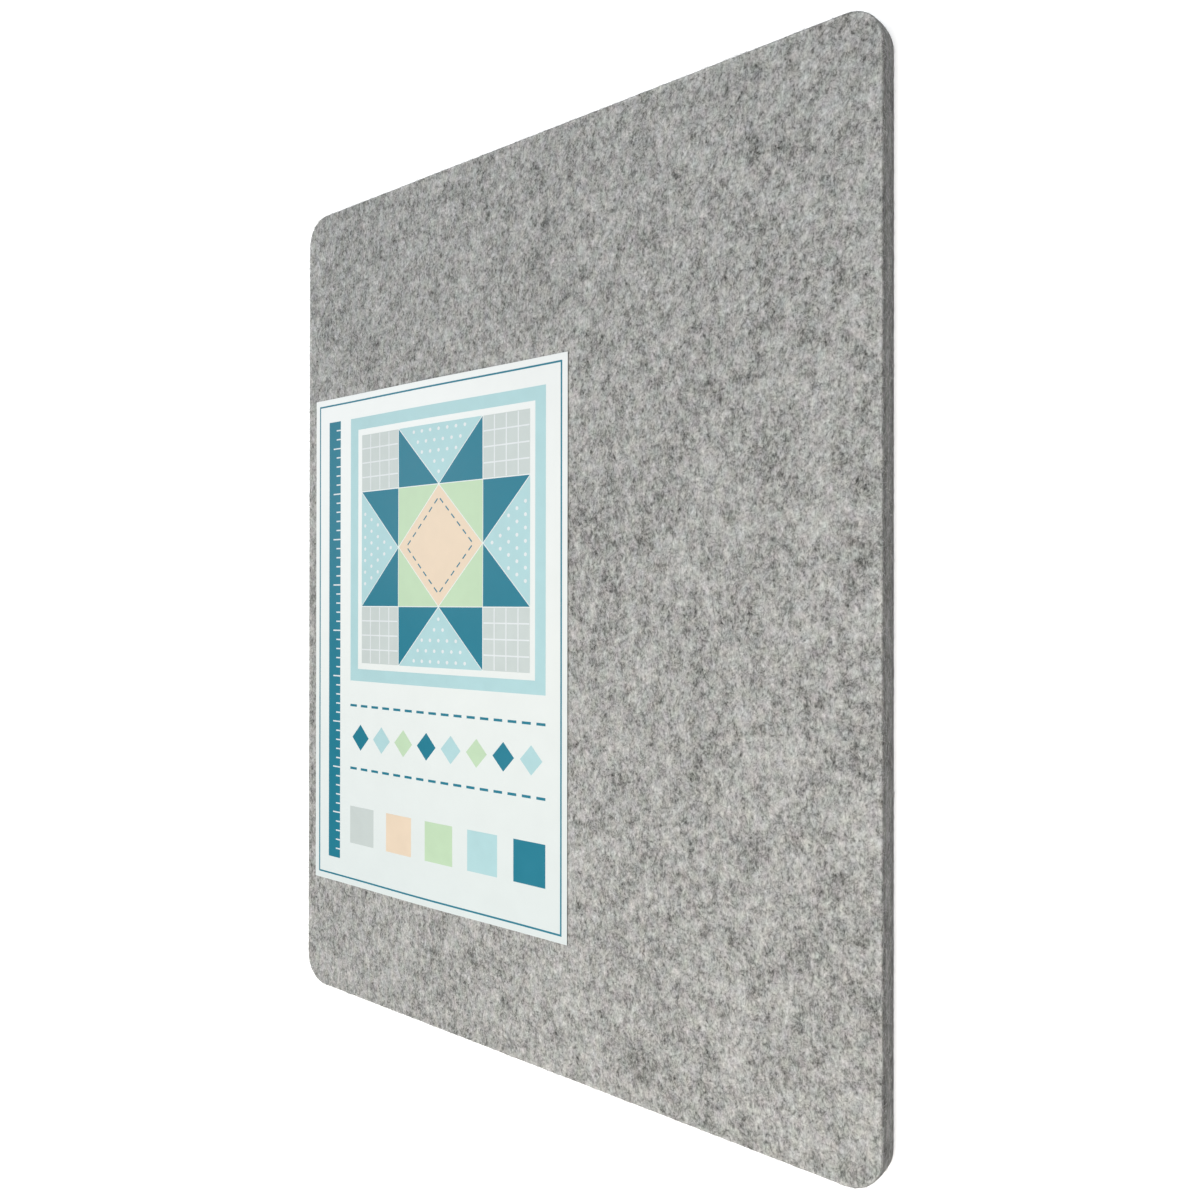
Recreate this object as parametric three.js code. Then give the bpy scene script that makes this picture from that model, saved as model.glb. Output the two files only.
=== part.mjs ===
// Ironing pad: a slab of pressed wool felt that lies on a table, with a printed paper label taped
// to its ironing face. Millimetres, +Z up, the ironing face on top, the origin under the slab's middle.
import * as THREE from "three";

// Felt mat
const matWidth = 342; // along X
const matLength = 430; // along Y
const matThickness = 13;
const matCornerRadius = 15; // seen from above
const topArrisRadius = 0.8; // edge of the ironing face, crisp from the cutting die
const bottomArrisRadius = 4; // edge of the underside, rolled over as the die presses through
const edgeBelly = 0.2; // how far the middle of the cut wall swells past its arrises

// Printed label
const labelWidth = 186; // along X
const labelLength = 266; // along Y
const labelThickness = 0.25;
const labelLeftMargin = 8; // from the mat's left edge to the label's
const labelBottomMargin = 60; // from the mat's near edge to the label's
const labelBow = 0.9; // how far the label's middle stands off its taped edges

// Double-sided tape under the label's corners
const tapeThickness = 0.25;
const tapeWidth = 12; // along X
const tapeLength = 24; // along Y
const tapeInset = 5; // from the label's edges
const tapeMargin = 3; // flat label past the tape before the bow starts
const tapeToothDepth = 0.8; // zigzag left by the toothed blade that cuts the tape
const tapeToothCount = 6; // on each cut end

// Facets of the curved stretches
const cornerSteps = 6; // half the steps in a quarter turn of the outline
const arrisSteps = 4; // half the steps in a quarter turn of an arris; even, to keep the belly's crest
const bowSteps = 10; // on each side of the label's crest

// A rounded rectangle about the origin, counter-clockwise.
function roundedRectangle(width, length, radius) {
  const x = width / 2 - radius;
  const y = length / 2 - radius;
  const outline = new THREE.Shape();
  outline.absarc(x, y, radius, 0, Math.PI / 2);
  outline.absarc(-x, y, radius, Math.PI / 2, Math.PI);
  outline.absarc(-x, -y, radius, Math.PI, 1.5 * Math.PI);
  outline.absarc(x, -y, radius, 1.5 * Math.PI, 2 * Math.PI);
  return outline;
}

// A closed skin through rings of equally many points, from the top ring down to the bottom one.
function loft(rings) {
  const count = rings[0].length;
  const last = (rings.length - 1) * count;
  const index = [];
  for (let ring = 0; ring < rings.length - 1; ring++) {
    for (let j = 0; j < count; j++) {
      const upper = ring * count + j;
      const upperNext = ring * count + ((j + 1) % count);
      index.push(upper, upper + count, upperNext);
      index.push(upperNext, upper + count, upperNext + count);
    }
  }
  for (const [a, b, c] of THREE.ShapeUtils.triangulateShape(rings[0], [])) {
    index.push(a, b, c);
    index.push(last + c, last + b, last + a);
  }
  const geometry = new THREE.BufferGeometry();
  const positions = rings.flat().flatMap((point) => point.toArray());
  geometry.setAttribute("position", new THREE.Float32BufferAttribute(positions, 3));
  geometry.setIndex(index);
  geometry.computeVertexNormals();
  return geometry;
}

// The cut edge seen from the side, from the ironing face down to the underside. Its x is the inset
// from the mat's outline and its y the height: a crisp arris, a wall with a slight belly, a rolled arris.
function edgeProfile() {
  const wallTop = matThickness - topArrisRadius;
  const topInset = edgeBelly + topArrisRadius;
  const bottomInset = edgeBelly + bottomArrisRadius;
  const profile = new THREE.Path();
  profile.absarc(topInset, wallTop, topArrisRadius, Math.PI / 2, Math.PI);
  profile.quadraticCurveTo(-edgeBelly, (wallTop + bottomArrisRadius) / 2, edgeBelly, bottomArrisRadius);
  profile.absarc(bottomInset, bottomArrisRadius, bottomArrisRadius, Math.PI, 1.5 * Math.PI);
  return profile;
}

// The mat is its edge profile carried round the rounded outline and closed by the two flat faces.
function feltMat() {
  const rings = edgeProfile()
    .getPoints(arrisSteps)
    .map(({ x: inset, y: height }) =>
      roundedRectangle(matWidth - 2 * inset, matLength - 2 * inset, matCornerRadius - inset)
        .getPoints(cornerSteps)
        .map((point) => new THREE.Vector3(point.x, point.y, height)),
    );
  return loft(rings);
}

// The label's section across its width: flat over the tape at both edges, with a smooth bow between.
function labelSection() {
  const edge = labelWidth / 2;
  const foot = edge - tapeInset - tapeWidth - tapeMargin;
  const section = new THREE.Shape();
  section.moveTo(-edge, 0);
  section.lineTo(-foot, 0);
  section.bezierCurveTo(-foot / 2, 0, -foot / 2, labelBow, 0, labelBow);
  section.bezierCurveTo(foot / 2, labelBow, foot / 2, 0, foot, 0);
  section.lineTo(edge, 0);
  section.lineTo(edge, labelThickness);
  section.lineTo(foot, labelThickness);
  const crest = labelBow + labelThickness;
  section.bezierCurveTo(foot / 2, labelThickness, foot / 2, crest, 0, crest);
  section.bezierCurveTo(-foot / 2, crest, -foot / 2, labelThickness, -foot, labelThickness);
  section.lineTo(-edge, labelThickness);
  return section;
}

// A strip of tape about the origin, its two short ends cut in a zigzag.
function tapeTab() {
  const tooth = tapeWidth / tapeToothCount;
  const end = tapeLength / 2;
  const strip = new THREE.Shape();
  strip.moveTo(-tapeWidth / 2, -end);
  for (let i = 0; i < tapeToothCount; i++) {
    const x = -tapeWidth / 2 + i * tooth;
    strip.lineTo(x + tooth / 2, -end + tapeToothDepth);
    strip.lineTo(x + tooth, -end);
  }
  for (let i = 0; i < tapeToothCount; i++) {
    const x = tapeWidth / 2 - i * tooth;
    strip.lineTo(x, end);
    strip.lineTo(x - tooth / 2, end - tapeToothDepth);
  }
  strip.lineTo(-tapeWidth / 2, end);
  return new THREE.ExtrudeGeometry(strip, { depth: tapeThickness, bevelEnabled: false });
}

// One sub-part under its own name, with a finish of its own.
function piece(name, geometry, finish) {
  const mesh = new THREE.Mesh(geometry, new THREE.MeshStandardMaterial(finish));
  mesh.name = name;
  return mesh;
}

const feltFinish = { color: 0xa4a4a1, roughness: 0.95, metalness: 0 };
const paperFinish = { color: 0xf2f6f6, roughness: 0.3, metalness: 0 };
const tapeFinish = { color: 0xe6e2d3, roughness: 0.6, metalness: 0 };

const ironingPad = new THREE.Group();

ironingPad.add(piece("felt_mat", feltMat(), feltFinish));

// The label lies along the mat's left edge, on its tape.
const label = new THREE.Group();
const labelX = -matWidth / 2 + labelLeftMargin + labelWidth / 2;
const labelY = -matLength / 2 + labelBottomMargin + labelLength / 2;
label.position.set(labelX, labelY, matThickness);
ironingPad.add(label);

const sheet = new THREE.ExtrudeGeometry(labelSection(), {
  depth: labelLength,
  curveSegments: bowSteps,
  bevelEnabled: false,
});
const printedLabel = piece("printed_label", sheet, paperFinish);
printedLabel.rotation.x = Math.PI / 2;
printedLabel.position.set(0, labelLength / 2, tapeThickness);
label.add(printedLabel);

const tapeX = labelWidth / 2 - tapeInset - tapeWidth / 2;
const tapeY = labelLength / 2 - tapeInset - tapeLength / 2;
for (const [row, y] of [["top", tapeY], ["bottom", -tapeY]]) {
  for (const [side, x] of [["left", -tapeX], ["right", tapeX]]) {
    const tab = piece(`tape_tab_${row}_${side}`, tapeTab(), tapeFinish);
    tab.position.set(x, y, 0);
    label.add(tab);
  }
}

export default ironingPad;
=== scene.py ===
# Ironing pad: a slab of grey wool felt that lies on a table, with a printed paper label taped to its face.
# The dictionaries hold millimetres and degrees, the meshes metres.
import math
import bpy
import numpy as np
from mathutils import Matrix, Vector


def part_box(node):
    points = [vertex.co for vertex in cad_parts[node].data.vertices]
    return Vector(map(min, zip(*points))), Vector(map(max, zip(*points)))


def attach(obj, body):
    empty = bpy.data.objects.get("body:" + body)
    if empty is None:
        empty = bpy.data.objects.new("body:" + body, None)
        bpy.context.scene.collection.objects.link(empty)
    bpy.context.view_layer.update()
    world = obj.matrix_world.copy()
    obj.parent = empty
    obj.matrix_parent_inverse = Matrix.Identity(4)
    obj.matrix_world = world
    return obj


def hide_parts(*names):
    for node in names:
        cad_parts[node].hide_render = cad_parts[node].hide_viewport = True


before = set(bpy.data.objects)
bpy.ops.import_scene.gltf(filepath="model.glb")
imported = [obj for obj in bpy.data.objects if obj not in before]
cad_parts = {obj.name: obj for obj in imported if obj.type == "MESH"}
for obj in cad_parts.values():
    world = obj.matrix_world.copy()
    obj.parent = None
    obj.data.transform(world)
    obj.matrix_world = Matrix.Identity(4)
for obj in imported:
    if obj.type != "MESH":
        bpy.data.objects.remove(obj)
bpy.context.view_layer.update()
mm = 0.001
scene = bpy.context.scene

matLow, matHigh = (np.array(corner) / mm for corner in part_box("felt_mat"))
labelLow, labelHigh = (np.array(corner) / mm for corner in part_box("printed_label"))


# Helpers for meshes and noise

sharpAngle = 40.0  # faces that meet at more than this keep a hard line between them


# 3t^2 - 2t^3, which leaves 0 and reaches 1 level.
def ease(t):
    t = np.clip(t, 0.0, 1.0)
    return t * t * (3.0 - 2.0 * t)


# Random values from -1 to 1 on a square lattice of the given pitch, eased from corner to corner.
def softNoise(x, y, pitch, seed):
    side = 512  # points along the lattice before it repeats
    lattice = np.random.default_rng(seed).uniform(-1.0, 1.0, (side, side))
    column, row = np.floor(x / pitch).astype(int), np.floor(y / pitch).astype(int)
    across, along = ease(x / pitch - column), ease(y / pitch - row)
    left, right = column % side, (column + 1) % side
    lower, upper = row % side, (row + 1) % side
    near = lattice[lower, left] * (1 - across) + lattice[lower, right] * across
    far = lattice[upper, left] * (1 - across) + lattice[upper, right] * across
    return near * (1 - along) + far * along


# The quads of a grid of points that are numbered row by row from start. They face up where rows follow each
# other along +Y and columns along +X.
def gridQuads(rows, columns, start=0):
    index = start + np.arange(rows * columns).reshape(rows, columns)
    corners = [index[:-1, :-1], index[:-1, 1:], index[1:, 1:], index[1:, :-1]]
    return np.stack(corners, axis=-1).reshape(-1, 4)


# The point numbers round a grid's border, counter-clockwise from its first point.
def gridBorder(rows, columns):
    index = np.arange(rows * columns).reshape(rows, columns)
    return np.concatenate([index[0, :-1], index[:-1, -1], index[-1, :0:-1], index[:0:-1, 0]])


# A closed slab: an upper and a lower grid of points with a wall of quads round their borders.
def slab(upper, lower):
    rows, columns = upper.shape[:2]
    count = rows * columns
    border = gridBorder(rows, columns)
    onward = np.roll(border, -1)
    wall = np.stack([border + count, onward + count, onward, border], axis=-1)
    under = gridQuads(rows, columns, count)[:, ::-1]
    points = np.concatenate([upper.reshape(-1, 3), lower.reshape(-1, 3)])
    return points, np.concatenate([gridQuads(rows, columns), under, wall])


# Several closed shells as one mesh's points and faces, each numbered on from the shell before it.
def joined(shells):
    counts = [len(points) for points, faces in shells]
    starts = np.concatenate([[0], np.cumsum(counts)[:-1]])
    points = np.concatenate([points for points, faces in shells])
    return points, np.concatenate([shell[1] + start for shell, start in zip(shells, starts)])


# A mesh object from points in millimetres, riding on the pad's one body. colourMap gives each face corner's
# place on the map that its colours can be baked to.
def makePiece(name, points, faceLists, material, colourMap=None):
    mesh = bpy.data.meshes.new(name)
    faces = [face for faceList in faceLists for face in faceList.tolist()]
    mesh.from_pydata((points * mm).tolist(), [], faces)
    if colourMap is not None:
        mesh.uv_layers.new(name="OFBake").uv.foreach_set("vector", colourMap.ravel())
    mesh.materials.append(material)
    mesh.update()
    piece = bpy.data.objects.new(name, mesh)
    scene.collection.objects.link(piece)
    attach(piece, "root")
    return piece


# Smooth shading over a sheet's faces, with hard lines where they turn into its cut edges.
def smoothSheet(piece):
    piece.data.shade_smooth()
    piece.data.set_sharp_from_angle(angle=math.radians(sharpAngle))


# Helpers for materials

noiseRange = (0.3, 0.7)  # most of a noise's values lie between these


# A new material, its node tree and its Principled shader, with the sockets set that are the same all over.
def newFinish(name, evenSockets):
    finish = bpy.data.materials.new(name)
    finish.use_nodes = True
    shader = finish.node_tree.nodes["Principled BSDF"]
    for socket, value in evenSockets.items():
        shader.inputs[socket].default_value = value
    return finish, finish.node_tree, shader


# Adds a node; an input that is a socket is linked, and any other is set.
def addNode(tree, kind, inputs, **settings):
    node = tree.nodes.new(kind)
    for name, value in settings.items():
        setattr(node, name, value)
    for name, value in inputs.items():
        if isinstance(value, bpy.types.NodeSocket):
            tree.links.new(value, node.inputs[name])
        else:
            node.inputs[name].default_value = value
    return node


# One step of vector arithmetic.
def vectorStep(tree, operation, inputs):
    return addNode(tree, "ShaderNodeVectorMath", inputs, operation=operation).outputs[0]


# first * factor + rest, as sockets or numbers.
def scaledSum(tree, first, factor, rest):
    inputs = {0: first, 1: factor, 2: rest}
    return addNode(tree, "ShaderNodeMath", inputs, operation="MULTIPLY_ADD").outputs[0]


# Object coordinates in millimetres.
def millimetres(tree):
    place = tree.nodes.new("ShaderNodeTexCoord").outputs["Object"]
    return vectorStep(tree, "SCALE", {0: place, 3: 1.0 / mm})


# Coordinates turned in plan and stretched, so that a noise of size 1 on them has lumps of the given sizes.
def stretched(tree, place, sizes, turn=0.0):
    inputs = {"Vector": place, "Rotation": (0.0, 0.0, math.radians(turn)), "Scale": sizes}
    return addNode(tree, "ShaderNodeMapping", inputs, vector_type="TEXTURE").outputs[0]


# Noise with lumps of the given size in millimetres.
def lumps(tree, place, size, detail=2.0, roughness=0.5):
    inputs = {"Vector": place, "Scale": 1.0 / size, "Detail": detail, "Roughness": roughness}
    return addNode(tree, "ShaderNodeTexNoise", inputs).outputs["Fac"]


# A colour ramp through (position, colour) stops.
def ramp(tree, factor, stops):
    node = addNode(tree, "ShaderNodeValToRGB", {"Fac": factor})
    elements = node.color_ramp.elements
    while len(elements) < len(stops):
        elements.new(0.5)
    for element, (position, colour) in zip(elements, stops):
        element.position = position
        element.color = (*colour, 1.0)
    return node.outputs["Color"]


# The shader's colour, which a noise takes from one tone to another.
def mottle(tree, shader, noise, tones):
    tree.links.new(ramp(tree, noise, tuple(zip(noiseRange, tones))), shader.inputs["Base Color"])


# The shader's roughness: its least value plus a share of a noise.
def roughen(tree, shader, noise, least, share):
    tree.links.new(scaledSum(tree, noise, share, least), shader.inputs["Roughness"])


# Bump on the shader, of the given depth in millimetres.
def addBump(tree, shader, height, depth, strength):
    inputs = {"Height": height, "Distance": depth * mm, "Strength": strength}
    tree.links.new(addNode(tree, "ShaderNodeBump", inputs).outputs["Normal"], shader.inputs["Normal"])


# Camera, floor and light

camera = {
    "lens": 30.37,  # on a sensor 36 wide
    "nearest": 10.0,  # what is closer isn't drawn
    "place": (317.8, -1.6, 357.7),
    "pitch": 0.18,
    "yaw": 38.76,  # turned from straight down towards the label's side
    "roll": 0.07,
}

studio = {
    "floorHalf": 6000.0,  # half the side of a square
    "floorPaint": {
        "Base Color": (0.6, 0.6, 0.6, 1.0),
        "Roughness": 0.9,
        "Specular IOR Level": 0.0,  # as white far off as near by
        "Emission Color": (1.0, 1.0, 1.0, 1.0),
        "Emission Strength": 0.68,  # a light table under the pad, which keeps its shadow thin
    },
    "backdrop": {"Color": (1.0, 1.0, 1.0, 1.0), "Strength": 1.0},  # what the camera sees past the floor
    "fill": {"Color": (0.96, 0.98, 1.0, 1.0), "Strength": 0.10},  # light from all round
    "key": {"energy": 1.83, "spread": 50.0, "from": (-0.12, -0.05, 1.0), "tint": (0.849, 0.927, 1.0)},
    "panels": {
        "warmPanel": {
            "place": (188.0, -400.0, 847.0),
            "aim": (0.0, -120.0, 0.0),
            "size": (700.0, 500.0),
            "power": 5.83,
            "tint": (1.0, 0.894, 0.746),
        },
        "glareStrip": {
            "place": (-970.0, 230.0, 811.0),
            "aim": (-70.0, 60.0, 14.0),
            "size": (440.0, 140.0),
            "power": 1.0,
            "tint": (0.97, 1.0, 0.99),
        },
    },
}


# The camera starts straight down and turns by its roll about the line of sight, then by its pitch about X
# and last by its yaw about Y.
def makeCamera():
    lens = bpy.data.cameras.new("padCamera")
    lens.lens = camera["lens"]
    lens.clip_start = camera["nearest"] * mm
    viewer = bpy.data.objects.new("padCamera", lens)
    viewer.location = [value * mm for value in camera["place"]]
    viewer.rotation_mode = "ZXY"
    viewer.rotation_euler = [math.radians(camera[turn]) for turn in ("pitch", "yaw", "roll")]
    scene.collection.objects.link(viewer)
    scene.camera = viewer


# A lamp shines down its own Z axis, which is turned to point back along the given direction.
def placeLight(name, data, place, towards):
    lamp = bpy.data.objects.new(name, data)
    lamp.location = place
    lamp.rotation_euler = Vector(towards).to_track_quat("-Z", "Y").to_euler()
    scene.collection.objects.link(lamp)


# A soft sun, and panels that each shine along the line from their place to their aim.
def makeLights():
    key = studio["key"]
    sun = bpy.data.lights.new("softKey", "SUN")
    sun.energy = key["energy"]
    sun.angle = math.radians(key["spread"])
    sun.color = key["tint"]
    placeLight("softKey", sun, (0, 0, 1), [-part for part in key["from"]])  # only its direction counts
    for name, panel in studio["panels"].items():
        area = bpy.data.lights.new(name, "AREA")
        area.shape = "RECTANGLE"
        area.size, area.size_y = (side * mm for side in panel["size"])
        area.energy = panel["power"]
        area.color = panel["tint"]
        place = np.array(panel["place"]) * mm
        placeLight(name, area, place, np.array(panel["aim"]) * mm - place)


# Rays from the camera meet the white backdrop, and all other rays the weaker fill.
def makeWorld():
    world = bpy.data.worlds.new("studioWorld")
    world.use_nodes = True
    tree = world.node_tree
    tree.nodes.clear()
    fill = addNode(tree, "ShaderNodeBackground", studio["fill"]).outputs[0]
    backdrop = addNode(tree, "ShaderNodeBackground", studio["backdrop"]).outputs[0]
    fromCamera = tree.nodes.new("ShaderNodeLightPath").outputs["Is Camera Ray"]
    either = addNode(tree, "ShaderNodeMixShader", {0: fromCamera, 1: fill, 2: backdrop}).outputs[0]
    addNode(tree, "ShaderNodeOutputWorld", {"Surface": either})
    scene.world = world


# One square at height 0, which the pad lies on.
def makeFloor():
    half = studio["floorHalf"] * mm
    corners = [(-half, -half, 0), (half, -half, 0), (half, half, 0), (-half, half, 0)]
    mesh = bpy.data.meshes.new("floor")
    mesh.from_pydata(corners, [], [(0, 1, 2, 3)])
    mesh.materials.append(newFinish("floorPaint", studio["floorPaint"])[0])
    floor = bpy.data.objects.new("floor", mesh)
    scene.collection.objects.link(floor)


scene.view_settings.view_transform = "Standard"
makeCamera()
makeLights()
makeWorld()
makeFloor()
print("camera, light and floor made")


# Felt mat

feltMat = {
    "cornerRadius": 15.0,  # seen from above
    "topArris": 0.8,
    "bottomArris": 4.0,
    "belly": 0.2,  # swell of the cut wall past its arrises
    "rim": 0.7,  # width of the flat rim that the cut leaves on the ironing face, painted paler there as a highlight
    "paintedEdgeShadings": {  # painted highlight and shade: middle and width on the way down the edge, and how much paler or darker it is painted there
        # painted highlight on the rim, where the arris catches the light
        "rim": (0.5, 0.6, 0.16),
        "line": (2.6, 0.9, -0.18),  # painted shade just under the arris
        "foot": (10.6, 2.3, -0.25),  # painted shade over the rolled edge
    },
    "paintedWallShade": -0.345,  # painted shade on the upright cut wall, darker as if out of the light from above
    "cell": 1.6,  # spacing of the ironing face's points
    "cornerRows": 10,  # rows of points through a rounded corner, an even count
    "arrisRings": 6,
    "wallRings": 14,
    "undersideStep": 2.0,  # from the bottom arris to the coarser grid of the underside
    "relief": ((24.0, 0.10), (9.0, 0.08), (4.5, 0.07)),  # lump size and depth
    "strata": ((18.0, 0.9, 0.08), (5.0, 0.7, 0.07)),  # length, height and depth of the wall's felted layers
    "seeds": {"face": 11, "underside": 21, "wall": 31},
    "mapMargin": 0.004,  # bare strip between the islands of the colour map, whose side is 1
    "mapStrips": 5,  # lengths that the wall is cut into on it
}


# Rows of points across a rounded rectangle inset from the mat's outline: y runs straight between the
# corners and as the sine of the turn through them, and x reaches from side to side of each row.
def matRows(inset, columns, straightRows, cornerRows):
    radius = feltMat["cornerRadius"] - inset
    centreX = matHigh[0] - feltMat["cornerRadius"]
    centreY = matHigh[1] - feltMat["cornerRadius"]
    turn = np.linspace(0.0, math.pi / 2, cornerRows + 1)
    rise, run = radius * np.sin(turn), radius * np.cos(turn)
    straight = np.linspace(-centreY, centreY, straightRows + 1)[1:-1]
    y = np.concatenate([-centreY - rise[::-1], straight, centreY + rise])
    level = np.full(straightRows - 1, radius)
    reach = centreX + np.concatenate([run[::-1], level, run])
    share = np.linspace(-1.0, 1.0, columns + 1)
    x = reach[:, None] * share[None, :]
    return x, np.broadcast_to(y[:, None], x.shape)


# The unit normal in plan at each border point: square to the straight sides, and along the turn in the
# corners.
def borderNormals(columns, straightRows, cornerRows):
    turn = np.linspace(0.0, math.pi / 2, cornerRows + 1)
    angle = np.concatenate([-turn[::-1], np.zeros(straightRows - 1), turn])
    side = np.stack([np.cos(angle), np.sin(angle)], axis=-1)
    near = np.tile([0.0, -1.0], (columns, 1))
    left = (side * [-1.0, 1.0])[:0:-1]
    return np.concatenate([near, side[:-1], -near, left])


# Inset and height down the cut edge: the flat rim, a quarter round, a wall bowed by 4t(1 - t) of the belly,
# and a wider quarter round.
def edgeProfile():
    belly, top, bottom = feltMat["belly"], feltMat["topArris"], feltMat["bottomArris"]
    turn = np.linspace(0.0, math.pi / 2, feltMat["arrisRings"] + 1)
    wallTop = matHigh[2] - top
    t = np.linspace(0.0, 1.0, feltMat["wallRings"] + 1)[1:-1]
    rim = [[belly + top + feltMat["rim"]], [matHigh[2]]]
    upper = [belly + top * (1 - np.sin(turn)), wallTop + top * np.cos(turn)]
    wall = [belly * (1 - 4 * t * (1 - t)), wallTop + (bottom - wallTop) * t]
    lower = [belly + bottom * (1 - np.cos(turn)), bottom * (1 - np.sin(turn))]
    return np.concatenate([rim, upper, wall, lower], axis=1)


# How steeply each ring of the edge lies under the one before, from 0 to 1, and the way down the profile
# to it.
def edgeWay(insets, heights):
    across, down = np.diff(insets, prepend=insets[0]), np.diff(heights, prepend=heights[0])
    step = np.hypot(across, down)
    shortest = 1e-6  # stands in for the first ring's step, which is none
    return -down / np.maximum(step, shortest), np.cumsum(step)


# The painted highlight and shade at each ring of the edge: bell curves of the way down the profile for the
# painted highlight on the rim, the painted shade line under it and the painted shade on the foot, and
# painted shade in a share that follows how upright the wall is.
def paintedEdgeShadings(insets, heights):
    steepness, way = edgeWay(insets, heights)
    bells = feltMat["paintedEdgeShadings"].values()
    lines = sum(strength * np.exp(-(((way - middle) / width) ** 2)) for middle, width, strength in bells)
    return lines + feltMat["paintedWallShade"] * ease(steepness)


# The felt's colour map: the ironing face fills the left of it, the underside lies small in the lower right
# corner, and above that the wall stands in strips, with the way down its profile across each.
def feltMap(points, flatFaces, way, rimCount):
    margin, strips = feltMat["mapMargin"], feltMat["mapStrips"]
    face, under = (points[corners.ravel(), :2] for corners in flatFaces)
    faceScale = (1 - 2 * margin) / np.ptp(face[:, 1])
    faceMap = margin + (face - face.min(axis=0)) * faceScale
    left = faceMap[:, 0].max() + margin
    room = 1 - margin - left
    underMap = np.array([left, margin]) + (under - under.min(axis=0)) * room / np.ptp(under[:, 0])
    low = underMap[:, 1].max() + margin
    length = math.ceil(rimCount / strips)
    strip, step = np.divmod(np.arange(rimCount), length)
    ring = np.arange(len(way) - 1)[:, None, None] + np.array([1, 1, 0, 0])
    across = way[ring] / way[-1] * (room / strips - margin)
    u = left + strip[None, :, None] * room / strips + across
    v = low + (step[None, :, None] + np.array([0, 1, 1, 0])) / length * (1 - margin - low)
    wallMap = np.stack(np.broadcast_arrays(u, v), axis=-1).reshape(-1, 2)
    return np.concatenate([faceMap, wallMap, underMap])


# Hollows of several sizes, each a soft noise from none to its full depth.
def feltRelief(x, y, seed):
    layers = enumerate(feltMat["relief"])
    return sum(depth * (0.5 + 0.5 * softNoise(x, y, size, seed + i)) for i, (size, depth) in layers)


# The ironing face's rim carried down the edge profile ring by ring: each ring stands out from the rim, along
# its normals, by the change of inset less the hollows between the felted layers.
def edgeRings(rim, normals, insets, heights):
    walk = np.cumsum(np.linalg.norm(rim[:, :2] - np.roll(rim[:, :2], 1, axis=0), axis=1))
    hollow = np.zeros((len(insets) - 1, len(rim)))
    seed = feltMat["seeds"]["wall"]
    for i, (length, height, depth) in enumerate(feltMat["strata"]):
        noise = softNoise(walk[None, :] / length, heights[1:, None] / height, 1.0, seed + i)
        hollow += depth * (0.5 + 0.5 * noise)
    outward = insets[0] - insets[1:, None] - hollow
    rings = np.empty((*outward.shape, 3))
    rings[..., :2] = rim[None, :, :2] + outward[..., None] * normals[None, :, :]
    rings[..., 2] = heights[1:, None]
    return rings


# Triangles from the edge's last ring to the underside's border, which has half as many points: three for
# each step of that border.
def undersideStitch(last, inner):
    even, odd, nextEven = last[0::2], last[1::2], np.roll(last[0::2], -1)
    innerNext = np.roll(inner, -1)
    strip = [(odd, even, inner), (odd, inner, innerNext), (nextEven, odd, innerNext)]
    return np.concatenate([np.stack(triangle, axis=-1) for triangle in strip])


# The ironing face is a grid, its border goes down the edge profile ring by ring, and every second border
# point goes on into the underside's coarser grid.
def feltSkin():
    cell, radius, cornerRows = feltMat["cell"], feltMat["cornerRadius"], feltMat["cornerRows"]
    columns = 2 * round((matHigh[0] - matLow[0]) / cell / 2)
    straightRows = 2 * round((matHigh[1] - matLow[1] - 2 * radius) / cell / 2)
    insets, heights = edgeProfile()
    x, y = matRows(insets[0], columns, straightRows, cornerRows)
    face = np.stack([x, y, heights[0] - feltRelief(x, y, feltMat["seeds"]["face"])], axis=-1)
    x, y = matRows(insets[-1] + feltMat["undersideStep"], columns // 2, straightRows // 2, cornerRows // 2)
    under = np.stack([x, y, feltRelief(x, y, feltMat["seeds"]["underside"])], axis=-1)
    border = gridBorder(*face.shape[:2])
    rim = face.reshape(-1, 3)[border]
    rings = edgeRings(rim, borderNormals(columns, straightRows, cornerRows), insets, heights)
    points = np.concatenate([grid.reshape(-1, 3) for grid in (face, rings, under)])
    faceCount = face.shape[0] * face.shape[1]
    underStart = faceCount + rings.shape[0] * rings.shape[1]
    loops = np.concatenate([border[None, :], np.arange(faceCount, underStart).reshape(-1, len(rim))])
    onward = np.roll(loops, -1, axis=1)
    wall = np.stack([loops[1:], onward[1:], onward[:-1], loops[:-1]], axis=-1).reshape(-1, 4)
    faceQuads = gridQuads(*face.shape[:2])
    underQuads = gridQuads(*under.shape[:2], underStart)[:, ::-1]
    stitch = undersideStitch(loops[-1], underStart + gridBorder(*under.shape[:2]))
    # Painted highlight and shade for each ring of the edge, and none on the face and underside.
    tones = np.zeros(len(points))
    tones[loops] = paintedEdgeShadings(insets, heights)[:, None]
    flatFaces = (faceQuads, np.concatenate([underQuads.ravel(), stitch.ravel()]))
    return {
        "points": points,
        "faces": [faceQuads, wall, underQuads, stitch],
        "tones": tones,
        "colourMap": feltMap(points, flatFaces, edgeWay(insets, heights)[1], len(rim)),
        "faceCount": faceCount,
        "underStart": underStart,
    }


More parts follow.
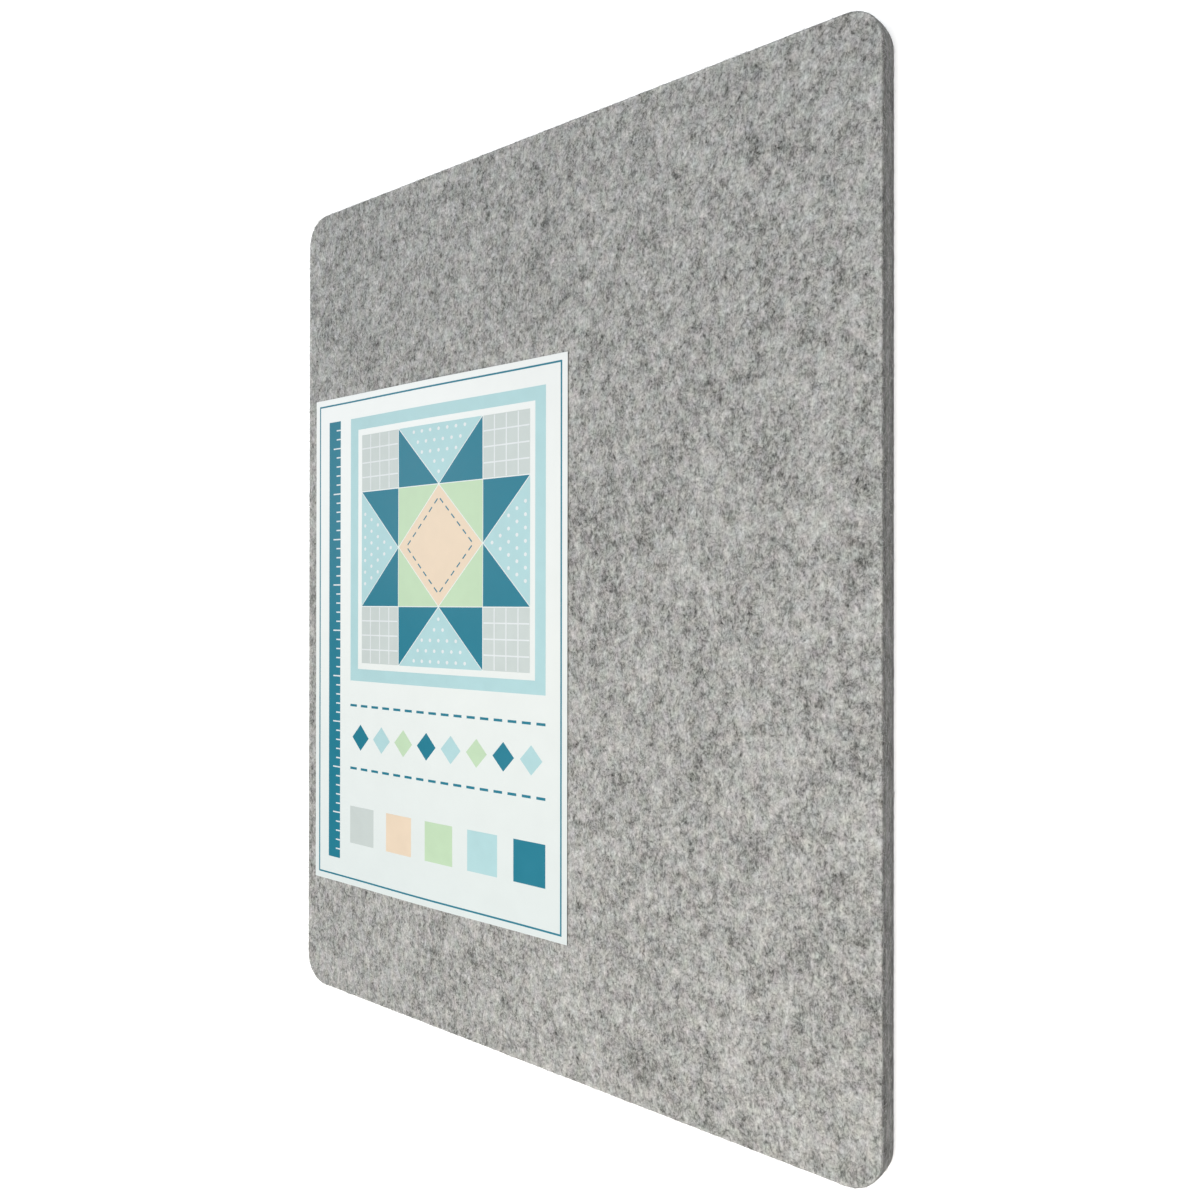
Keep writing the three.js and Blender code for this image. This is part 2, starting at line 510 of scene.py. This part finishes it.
feltLook = {
    "grain": (1.17, 0.86),  # squeeze across and along; lumps run longer along, as the wool was carded
    "layering": 3.0,  # how many times flatter than wide they lie, as the wool was laid
    "swirl": (5.0, 1.0, 2.6),  # size and detail of the turns that the fibres take, and how far they stray
    "noise": (2.0, 0.6),  # detail and roughness of the lumps and marks
    "markTurns": (30.0, 86.0, 145.0),
    "markSize": (2.6, 0.62),  # length and width
    "markWeight": 0.65,
    "melange": ((1.3, 0.9), (3.2, 0.92), (8.0, 0.65), (20.0, 0.40), (50.0, 0.19)),  # lump size and weight
    "tones": (
        (0.0, (0.053, 0.0537, 0.0513)),
        (0.3, (0.2153, 0.2168, 0.2119)),
        (0.5, (0.345, 0.346, 0.341)),
        (0.7, (0.4613, 0.4621, 0.4566)),
        (1.0, (0.613, 0.614, 0.608)),
    ),
    "hue": 0.12,  # how far red, green and blue stray from each other
    "bump": (0.3, 0.8),  # depth and strength
    "even": {"Roughness": 0.95, "Specular IOR Level": 0.15, "Sheen Weight": 0.12, "Sheen Roughness": 0.6},
}


# Grey melange: short light and dark marks in three directions that swirl, over softer lumps of several
# sizes. The tone is a half plus the weighted sum of these noises, each less its own half. A ramp makes it a
# grey, whose hue strays a little, and the edge's painted highlight and shade then scale it.
def feltFinish():
    finish, tree, shader = newFinish("greyMelangeFelt", feltLook["even"])
    flattened = (*feltLook["grain"], feltLook["layering"])
    place = vectorStep(tree, "MULTIPLY", {0: millimetres(tree), 1: flattened})
    turnSize, turnDetail, stray = feltLook["swirl"]
    turns = {"Vector": place, "Scale": 1.0 / turnSize, "Detail": turnDetail}
    drift = addNode(tree, "ShaderNodeTexNoise", turns).outputs["Color"]
    centred = vectorStep(tree, "SUBTRACT", {0: drift, 1: (0.5, 0.5, 0.5)})
    pushed = vectorStep(tree, "SCALE", {0: centred, 3: 2 * stray})
    swirled = vectorStep(tree, "ADD", {0: place, 1: pushed})
    length, width = feltLook["markSize"]
    marks = 0.0
    for turn in feltLook["markTurns"]:
        laid = stretched(tree, swirled, (length, width, width), turn)
        marks = scaledSum(tree, lumps(tree, laid, 1.0, *feltLook["noise"]), 1.0, marks)
    marks = scaledSum(tree, marks, 1.0, -0.5 * len(feltLook["markTurns"]))
    tone = scaledSum(tree, marks, feltLook["markWeight"], 0.5)
    for size, weight in feltLook["melange"]:
        lump = scaledSum(tree, lumps(tree, place, size, *feltLook["noise"]), 1.0, -0.5)
        tone = scaledSum(tree, lump, weight, tone)
    grey = ramp(tree, tone, feltLook["tones"])
    strayed = vectorStep(tree, "SCALE", {0: centred, 3: feltLook["hue"]})
    tinted = vectorStep(tree, "MULTIPLY_ADD", {0: strayed, 1: grey, 2: grey})
    paintedEdgeShading = addNode(tree, "ShaderNodeAttribute", {}, attribute_name="paintedEdgeShading").outputs["Fac"]
    edgeShaded = vectorStep(tree, "SCALE", {0: tinted, 3: scaledSum(tree, paintedEdgeShading, 1.0, 1.0)})
    tree.links.new(edgeShaded, shader.inputs["Base Color"])
    addBump(tree, shader, tone, *feltLook["bump"])
    return finish


skin = feltSkin()
felt = makePiece("felt_slab", skin["points"], skin["faces"], feltFinish(), skin["colourMap"])
felt.data.shade_smooth()
# The painted highlight and shade down the cut edge, for each point.
felt.data.attributes.new("paintedEdgeShading", "FLOAT", "POINT").data.foreach_set("value", skin["tones"])
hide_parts("felt_mat")
print("felt mat made:", len(felt.data.polygons), "faces")


# Printed label

label = {
    "thickness": 0.25,
    "bow": 0.9,  # how far the middle stands off the taped edges
    "flatEdge": 20.0,  # flat width over the tape
    "ripple": {"length": 84.0, "height": 0.10, "start": 0.8, "slant": 60.0},  # waves along the label
    "cell": 2.5,
    "whiteWithPaintedGlare": (  # the paper's white, from its lower edge to its upper, with painted glare that makes it lighter upwards
        (0.0, (0.689, 0.75, 0.759)),
        (0.5, (0.787, 0.823, 0.819)),
        (1.0, (0.834, 0.862, 0.869)),
    ),
    "paintedGlareFalloff": 0.07,  # painted falloff of the glare: how much less white its right edge is than its left
    "cloud": (14.0, 3.0, 0.5),  # lump size, detail and roughness of its formation
    "cloudTone": 0.05,  # how far that varies the white
    "grain": (0.02, 0.4),  # depth and strength of its bump
    "roughness": (0.32, 0.08),  # least value, and what the clouds add
    "even": {"Specular IOR Level": 0.5},
}
labelWidth, labelLength = labelHigh[:2] - labelLow[:2]


# Height of the label's upper face at (across, along) from its lower left corner: flat over the tape,
# eased up to the bow at mid-width, with slight waves along it that fade out at the taped edges. A wave's
# phase is the start, plus a turn for each length along and a radian for each slant across.
def labelTop(across, along):
    foot = labelWidth / 2 - label["flatEdge"]
    crest = ease(1.0 - np.abs(across - labelWidth / 2) / foot)
    ripple = label["ripple"]
    wave = np.sin(2 * math.pi * along / ripple["length"] + ripple["start"] + across / ripple["slant"])
    return labelLow[2] + label["thickness"] + (label["bow"] + ripple["height"] * (wave - 1.0)) * crest


# A grid of points on the label, lifted off its upper face.
def onLabel(across, along, lift):
    height = labelTop(across, along) + lift
    return np.stack([labelLow[0] + across, labelLow[1] + along, height], axis=-1)


# The sheet: an even grid on the label's upper face, and the same grid one thickness lower.
def labelSheet():
    across = np.linspace(0.0, labelWidth, round(labelWidth / label["cell"]) + 1)
    along = np.linspace(0.0, labelLength, round(labelLength / label["cell"]) + 1)
    across, along = np.meshgrid(across, along)
    return slab(onLabel(across, along, 0.0), onLabel(across, along, -label["thickness"]))


# Coated paper: nearly white, with a faint cool tint that deepens towards its lower edge, painted glare that
# leaves it lighter towards its upper edge and its left, and a faint cloudy formation in its tone and gloss.
def paperFinish():
    finish, tree, shader = newFinish("coatedPaper", label["even"])
    place = millimetres(tree)
    cloud = lumps(tree, place, *label["cloud"])
    way = addNode(tree, "ShaderNodeSeparateXYZ", {"Vector": place}).outputs
    share = scaledSum(tree, way["Y"], 1.0 / labelLength, -labelLow[1] / labelLength)
    # the paper's white with painted glare along the label
    tint = ramp(tree, share, label["whiteWithPaintedGlare"])
    # painted falloff of the glare across the label
    paintedGlareFalloff, middle = label["paintedGlareFalloff"] / labelWidth, labelLow[0] + labelWidth / 2
    level = scaledSum(tree, way["X"], -paintedGlareFalloff, 1.0 - label["cloudTone"] / 2 + paintedGlareFalloff * middle)
    white = vectorStep(tree, "SCALE", {0: tint, 3: scaledSum(tree, cloud, label["cloudTone"], level)})
    tree.links.new(white, shader.inputs["Base Color"])
    roughen(tree, shader, cloud, *label["roughness"])
    addBump(tree, shader, cloud, *label["grain"])
    return finish


sheetPoints, sheetQuads = labelSheet()
sheet = makePiece("label_sheet", sheetPoints, [sheetQuads], paperFinish())
smoothSheet(sheet)
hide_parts("printed_label")
print("label made:", len(sheet.data.polygons), "faces")


# Print on the label

# A plain border, a ruler down the left side, and beside it a patchwork star in a frame, a row of diamonds
# between two rows of stitches, and colour swatches. Places are measured from the label's lower left corner.
labelPrint = {
    "inks": {
        "teal": (0.006, 0.18, 0.265),
        "aqua": (0.41, 0.63, 0.668),
        "mint": (0.5, 0.67, 0.47),
        "sand": (0.77, 0.63, 0.49),
        "mist": (0.55, 0.61, 0.606),
        "white": (0.72, 0.76, 0.79),
    },
    "cloud": (9.0, 3.0, 0.5),  # lump size, detail and roughness of an ink's unevenness
    "cloudTone": 0.02,  # how far that varies its colour
    "film": 0.03,  # thickness of the ink on the paper
    "overprint": 2.0,  # films that ink on ink stands off the paper
    "crossing": 2.5,  # and where it crosses its own lines
    "cell": 3.0,  # longest step over the bowed paper
    "seam": 0.6,  # bare paper between two patches
    "border": (3.2, 0.9),  # distance from the label's edge, and width
    "ruler": {
        "low": (12.0, 13.0),
        "high": (22.0, 253.0),
        "pitch": 5.0,
        "tick": (0.7, 3.6),  # width and length
        "longTick": 6.2,
        "longEvery": 5,
    },
    "panel": {"left": 31.0, "top": 253.0, "side": 142.0, "bar": 6.5, "margin": 3.0},
    "diamondSide": 1.4,  # of the star's sand diamond, in squares of the star's grid
    "dots": {"pitch": 6.2, "margin": 3.1, "radius": 0.95},  # on the star's aqua cloth
    "check": {"lines": 3, "width": 0.7},  # on its mist cloth
    "quilting": {"inset": 4.6, "count": 6, "length": 3.2, "width": 0.7},  # stitches inside its diamond
    "stitches": {"rows": (97.0, 63.0), "count": 16, "length": 5.6, "width": 1.3},
    "diamonds": {"count": 8, "middle": 80.6, "half": 7.0, "inks": ("teal", "aqua", "mint")},
    "swatches": {"low": 23.0, "side": 20.0, "inks": ("mist", "sand", "mint", "aqua", "teal")},
}
inkShells = {name: [] for name in labelPrint["inks"]}


# A film of ink over a grid of places on the label, lift films high and carried down into the paper.
def printGrid(ink, place, lift):
    film = labelPrint["film"]
    upper = onLabel(place[..., 0], place[..., 1], lift * film)
    lower = onLabel(place[..., 0], place[..., 1], -film)
    inkShells[ink].append(slab(upper, lower))


# One patch of ink: the bilinear sheet between four corners on the label.
def printPatch(ink, corners, lift=1.0):
    a, b, c, d = np.array(corners, float)
    if np.cross(c - a, d - b) < 0:
        b, d = d, b
    sideSteps = max(np.linalg.norm(b - a), np.linalg.norm(c - d)) / labelPrint["cell"]
    riseSteps = max(np.linalg.norm(d - a), np.linalg.norm(c - b)) / labelPrint["cell"]
    shares = [np.linspace(0, 1, math.ceil(steps) + 1) for steps in (sideSteps, riseSteps)]
    s, t = (share[..., None] for share in np.meshgrid(*shares))
    printGrid(ink, (1 - t) * ((1 - s) * a + s * b) + t * ((1 - s) * d + s * c), lift)


# An upright rectangle of ink between its lower left and upper right corners.
def printBar(ink, low, high, lift=1.0):
    printPatch(ink, [low, (high[0], low[1]), high, (low[0], high[1])], lift)


# A round dot: nine places on a square grid, the outer ones drawn in to the rim.
def printDot(ink, centre, radius, lift):
    square = np.stack(np.meshgrid([-1.0, 0.0, 1.0], [-1.0, 0.0, 1.0]), axis=-1)
    disc = square / np.maximum(np.linalg.norm(square, axis=-1, keepdims=True), 1.0)
    printGrid(ink, centre + radius * disc, lift)


# A straight stitch between two places, half its width to either side of their line.
def printStitch(ink, start, end, width, lift):
    start, end = np.array(start, float), np.array(end, float)
    side = (end - start)[::-1] * [-1.0, 1.0] / np.linalg.norm(end - start) * width / 2
    printPatch(ink, [start - side, end - side, end + side, start + side], lift)


# A closed frame of four bars inside a rectangle.
def printFrame(ink, low, high, width):
    printBar(ink, low, (high[0], low[1] + width))
    printBar(ink, (low[0], high[1] - width), high)
    printBar(ink, (low[0], low[1] + width), (low[0] + width, high[1] - width))
    printBar(ink, (high[0] - width, low[1] + width), (high[0], high[1] - width))


# A sewn patch, drawn in about its middle by the seam's share of its reach: a square, or a triangle, whose
# third side's middle is its fourth corner.
def printSewn(ink, corners, reach):
    middle = corners.mean(axis=0)
    if len(corners) == 3:
        corners = np.concatenate([corners, [(corners[0] + corners[2]) / 2]])
    printPatch(ink, middle + (corners - middle) * (1 - labelPrint["seam"] / reach))


# Places of the dots on a goose's wide triangle, measured from the middle of its long side: staggered rows,
# less those that come within the margin of its sides.
def goosePlaces(height):
    pitch, margin = labelPrint["dots"]["pitch"], labelPrint["dots"]["margin"]
    row = np.arange(math.ceil(height / pitch * 2))
    column = np.arange(-len(row), len(row) + 1)
    x, y = np.meshgrid(column * pitch, margin + row * pitch * math.sqrt(0.75))
    x = x + (row % 2)[:, None] * pitch / 2
    clear = np.abs(x) < height - y - margin * math.sqrt(2.0)
    return np.stack([x, y], axis=-1)[clear]


# What is printed on one quarter's cloth, as places about the star's middle: dots on the goose, crossing
# lines on the corner square, and stitches along one side of the diamond.
def printCloth(unit, onStar):
    overprint, crossing = labelPrint["overprint"], labelPrint["crossing"]
    for place in goosePlaces(unit):
        printDot("white", onStar(place - [0.0, 2 * unit]), labelPrint["dots"]["radius"], overprint)
    check, seam = labelPrint["check"], labelPrint["seam"]
    for share in np.arange(1, check["lines"] + 1) / (check["lines"] + 1):
        middle, near, far = (share - 2) * unit, seam - 2 * unit, -unit - seam
        printStitch("white", onStar((middle, near)), onStar((middle, far)), check["width"], overprint)
        printStitch("white", onStar((near, middle)), onStar((far, middle)), check["width"], crossing)
    quilting = labelPrint["quilting"]
    start = np.array([0.0, quilting["inset"] * math.sqrt(2.0) - unit])
    along = np.array([1.0, 1.0]) / math.sqrt(2.0)
    run = -start[1] * math.sqrt(2.0)
    for share in (np.arange(quilting["count"]) + 0.5) / quilting["count"]:
        middle, half = start + along * run * share, along * quilting["length"] / 2
        printStitch("teal", onStar(middle - half), onStar(middle + half), quilting["width"], overprint)


# The traditional sawtooth star on a four by four grid of squares: corner squares, a goose of three
# triangles along each side, and a square set on its point in the middle; one quarter is turned four times.
def printStar(low, side):
    unit = side / 4
    centre = np.array(low) + side / 2
    quarter = [
        ("mist", [(-2, -2), (-1, -2), (-1, -1), (-2, -1)]),
        ("aqua", [(-1, -2), (1, -2), (0, -1)]),
        ("teal", [(-1, -2), (0, -1), (-1, -1)]),
        ("teal", [(1, -2), (1, -1), (0, -1)]),
        ("mint", [(-1, -1), (0, -1), (-1, 0)]),
    ]
    quarterTurn = np.array([[0, 1], [-1, 0]])
    turned = np.eye(2)
    for turn in range(4):
        for ink, corners in quarter:
            printSewn(ink, centre + unit * np.array(corners) @ turned, unit)
        printCloth(unit, lambda place: centre + np.array(place) @ turned)
        turned = turned @ quarterTurn
    diamond = np.array([(0, -1), (1, 0), (0, 1), (-1, 0)])
    printSewn("sand", centre + unit * diamond, unit * labelPrint["diamondSide"])


# White ticks at an even pitch on the ruler's right edge, with longer ones at a fixed count.
def printRuler():
    ruler = labelPrint["ruler"]
    low, high = ruler["low"], ruler["high"]
    printBar("teal", low, high)
    tickWidth, tickLength = ruler["tick"]
    for i, y in enumerate(np.arange(low[1] + ruler["pitch"], high[1], ruler["pitch"])):
        length = tickLength if (i + 1) % ruler["longEvery"] else ruler["longTick"]
        start, end = (high[0] - length, y - tickWidth / 2), (high[0], y + tickWidth / 2)
        printBar("white", start, end, labelPrint["overprint"])


# The rows under the star, each spread evenly over its panel's width: stitches, diamonds and swatches.
def printRows(left, side):
    stitches = labelPrint["stitches"]
    for x in np.linspace(left, left + side - stitches["length"], stitches["count"]):
        for y in stitches["rows"]:
            printBar("teal", (x, y), (x + stitches["length"], y + stitches["width"]))
    diamonds = labelPrint["diamonds"]
    half, y, inks = diamonds["half"], diamonds["middle"], diamonds["inks"]
    for i in range(diamonds["count"]):
        x = left + (i + 0.5) * side / diamonds["count"]
        printPatch(inks[i % len(inks)], [(x, y - half), (x + half, y), (x, y + half), (x - half, y)])
    swatches = labelPrint["swatches"]
    low, square, inks = swatches["low"], swatches["side"], swatches["inks"]
    for x, ink in zip(np.linspace(left, left + side - square, len(inks)), inks):
        printBar(ink, (x, low), (x + square, low + square))


# The whole print: the border, the ruler, the star inside its frame and a margin, and the rows under it.
def printLabel():
    inset, width = labelPrint["border"]
    printFrame("teal", (inset, inset), (labelWidth - inset, labelLength - inset), width)
    printRuler()
    panel = labelPrint["panel"]
    left, side = panel["left"], panel["side"]
    low = np.array([left, panel["top"] - side])
    printFrame("aqua", low, low + side, panel["bar"])
    gap = panel["bar"] + panel["margin"]
    printStar(low + gap, side - 2 * gap)
    printRows(left, side)


# Printing ink: its colour laid on slightly cloudily, as glossy as the paper.
def inkFinish(name, colour):
    finish, tree, shader = newFinish(name + "Ink", label["even"])
    cloud = lumps(tree, millimetres(tree), *labelPrint["cloud"])
    spread = labelPrint["cloudTone"]
    mottle(tree, shader, cloud, [np.array(colour) * share for share in (1 - spread, 1 + spread)])
    roughen(tree, shader, cloud, *label["roughness"])
    return finish


printLabel()
for ink, colour in labelPrint["inks"].items():
    inkPoints, inkQuads = joined(inkShells[ink])
    finish = inkFinish(ink, colour)
    smoothSheet(makePiece("label_print_" + ink, inkPoints, [inkQuads], finish))
print("print made:", {ink: len(shells) for ink, shells in inkShells.items()})


# Tape under the label's corners

tape = {
    "streak": (0.6, 9.0, 1.0),  # width, length and depth of a streak
    "detail": 3.0,
    "tones": ((0.62, 0.59, 0.5), (0.74, 0.71, 0.62)),
    "roughness": (0.3, 0.2),  # least value, and what the streaks add
}


# Clear tape with adhesive on both sides: pale, with faint streaks along its length.
def tapeFinish():
    finish, tree, shader = newFinish("doubleSidedTape", {})
    streaks = lumps(tree, stretched(tree, millimetres(tree), tape["streak"]), 1.0, tape["detail"])
    mottle(tree, shader, streaks, tape["tones"])
    roughen(tree, shader, streaks, *tape["roughness"])
    return finish


clearTape = tapeFinish()
for name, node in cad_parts.items():
    if name.startswith("tape_tab"):
        node.data.materials.clear()
        node.data.materials.append(clearTape)
print("tape finished")


# Loose fibres on the felt

fibres = {
    "face": {"count": 6500, "length": (2.5, 7.0), "lift": (0.05, 0.4), "spread": 1.0},
    "edge": {"count": 4500, "length": (1.2, 3.6), "lift": (0.05, 0.35), "spread": 0.5},
    "underside": {"count": 3500, "length": (2.5, 6.0), "lift": (0.02, 0.12), "spread": 1.0},
    "radius": (0.022, 0.04),
    "tip": 0.35,  # radius at the ends, as a share of the middle's
    "bend": (0.5, 0.1),  # usual size of the arc and of the S, as shares of the length
    "sink": 0.05,  # how deep the ends go into the felt
    "slide": 0.8,  # how far a root may lie from its point of the felt's mesh
    "lowest": 0.02,  # height that none goes below
    "labelGap": 4.5,  # bare felt round the label
    "stations": 5,
    "seeds": {"roots": 100, "shapes": 200, "perPlace": 10},  # first ones, and the step from place to place
    "tones": {"light": (0.613, 0.614, 0.608), "dark": (0.1235, 0.1245, 0.12)},
    "cloud": (9.0, 2.0),  # lump size and detail of the change of tone among them
    "cloudTone": 0.2,  # how far that goes
    "even": {"Roughness": 0.7, "Specular IOR Level": 0.3},
    "mapTube": ((0.2, 0.1), (0.6, 0.8)),  # low corner and size of the tube in its cell of the colour map
    "mapCap": ((0.05, 0.1), (0.15, 0.5), (0.05, 0.9)),  # corners of its first end cap there
}


# Fibres as three-sided tubes: each lies in the plane of its root, turned by its heading, with an arc and
# an S across it; its height is a half sine that starts and ends in the felt, and it thins to both ends.
def fibreTubes(roots, normals, style, seed):
    rng = np.random.default_rng(seed)
    count, stations = len(roots), fibres["stations"]
    level = 0.7  # a normal with more than this of its length upright takes its headings from X, not from Z
    steady = np.where(np.abs(normals[:, 2:]) > level, [[1.0, 0.0, 0.0]], [[0.0, 0.0, 1.0]])
    first = np.cross(steady, normals)
    first /= np.linalg.norm(first, axis=1, keepdims=True)
    second = np.cross(normals, first)
    heading = rng.uniform(-math.pi, math.pi, (count, 1)) * style["spread"]
    along = np.cos(heading) * first + np.sin(heading) * second
    across = np.cross(normals, along)
    length = rng.uniform(*style["length"], (count, 1, 1))
    arc, wave = (rng.normal(0.0, size, (count, 1, 1)) for size in fibres["bend"])
    lift = rng.uniform(*style["lift"], (count, 1, 1))
    radius = rng.uniform(*fibres["radius"], (count, 1, 1, 1))
    t = np.linspace(0.0, 1.0, stations)[None, :, None]
    sideways = arc * ((t - 0.5) ** 2 - 0.25) + wave * np.sin(2 * math.pi * t)
    height = (lift + fibres["sink"]) * np.sin(math.pi * t) - fibres["sink"]
    flat = length * ((t - 0.5) * along[:, None] + sideways * across[:, None])
    line = roots[:, None] + flat + height * normals[:, None]
    angle = (np.arange(3) * 2 * math.pi / 3)[None, None, :, None]
    tip = fibres["tip"]
    thin = radius * (tip + (1 - tip) * np.sin(math.pi * t))[..., None]
    section = np.cos(angle) * across[:, None, None] + np.sin(angle) * normals[:, None, None]
    points = (line[:, :, None] + thin * section).reshape(-1, 3)
    number = np.arange(count * stations * 3).reshape(count, stations, 3)
    onward = np.roll(number, -1, axis=2)
    quads = np.stack([number[:, :-1], onward[:, :-1], onward[:, 1:], number[:, 1:]], axis=-1).reshape(-1, 4)
    caps = np.concatenate([number[:, 0, ::-1], number[:, -1]])
    return points, quads, caps


# The fibres' colour map: a square cell for each, with the way along the fibre across it and the way round it
# up it, and the two end caps in the cell's side margins.
def fibreMap(count):
    segments = fibres["stations"] - 1
    side = math.ceil(math.sqrt(count))
    corner = np.stack(np.divmod(np.arange(count), side), axis=-1)[:, None, :]
    along = np.arange(segments)[:, None, None] + np.array([0, 0, 1, 1])
    around = np.arange(3)[:, None] + np.array([0, 1, 1, 0])
    low, size = np.array(fibres["mapTube"])
    tube = low + size * np.stack(np.broadcast_arrays(along / segments, around / 3), axis=-1)
    startCap = np.array(fibres["mapCap"])
    parts = [corner + part.reshape(-1, 2) for part in (tube, startCap, 1.0 - startCap)]
    return np.concatenate([part.reshape(-1, 2) for part in parts]) / side


# Wool fibre: one tone that drifts a little darker and lighter from place to place.
def fibreFinish(name, colour):
    finish, tree, shader = newFinish(name + "WoolFibre", fibres["even"])
    cloud = lumps(tree, millimetres(tree), *fibres["cloud"])
    spread = fibres["cloudTone"]
    mottle(tree, shader, cloud, [np.array(colour) * share for share in (1 - spread, 1 + spread)])
    return finish


# One vector for each item of a mesh's collection, as an array of rows.
def meshVectors(items, name):
    values = np.empty(len(items) * 3, np.float32)
    items.foreach_get(name, values)
    return values.reshape(-1, 3).astype(float)


# Fibres rooted at points picked from the felt's mesh, clear of the label. Each root slides a little along
# the surface: a random step less its part along the normal.
def scatterFibres():
    points = meshVectors(felt.data.vertices, "co") / mm
    normals = meshVectors(felt.data.vertex_normals, "vector")
    plan, gap = points[:, :2], fibres["labelGap"]
    covered = np.all((plan > labelLow[:2] - gap) & (plan < labelHigh[:2] + gap), axis=1)
    number = np.arange(len(points))
    places = {
        "face": (number < skin["faceCount"]) & ~covered,
        "edge": (number >= skin["faceCount"]) & (number < skin["underStart"]),
        "underside": number >= skin["underStart"],
    }
    seeds, reach = fibres["seeds"], fibres["slide"]
    for i, (place, chosen) in enumerate(places.items()):
        style = fibres[place]
        for j, (tone, colour) in enumerate(fibres["tones"].items()):
            own = seeds["perPlace"] * i + j
            rng = np.random.default_rng(seeds["roots"] + own)
            picked = rng.choice(number[chosen], style["count"])
            upright = normals[picked]
            slide = rng.uniform(-reach, reach, upright.shape)
            slide -= np.sum(slide * upright, axis=1, keepdims=True) * upright
            tubes, quads, caps = fibreTubes(points[picked] + slide, upright, style, seeds["shapes"] + own)
            tubes[:, 2] = np.maximum(tubes[:, 2], fibres["lowest"])
            finish, colourMap = fibreFinish(tone, colour), fibreMap(style["count"])
            makePiece("fibres_" + place + "_" + tone, tubes, [quads, caps], finish, colourMap)


scatterFibres()
print("fibres made")
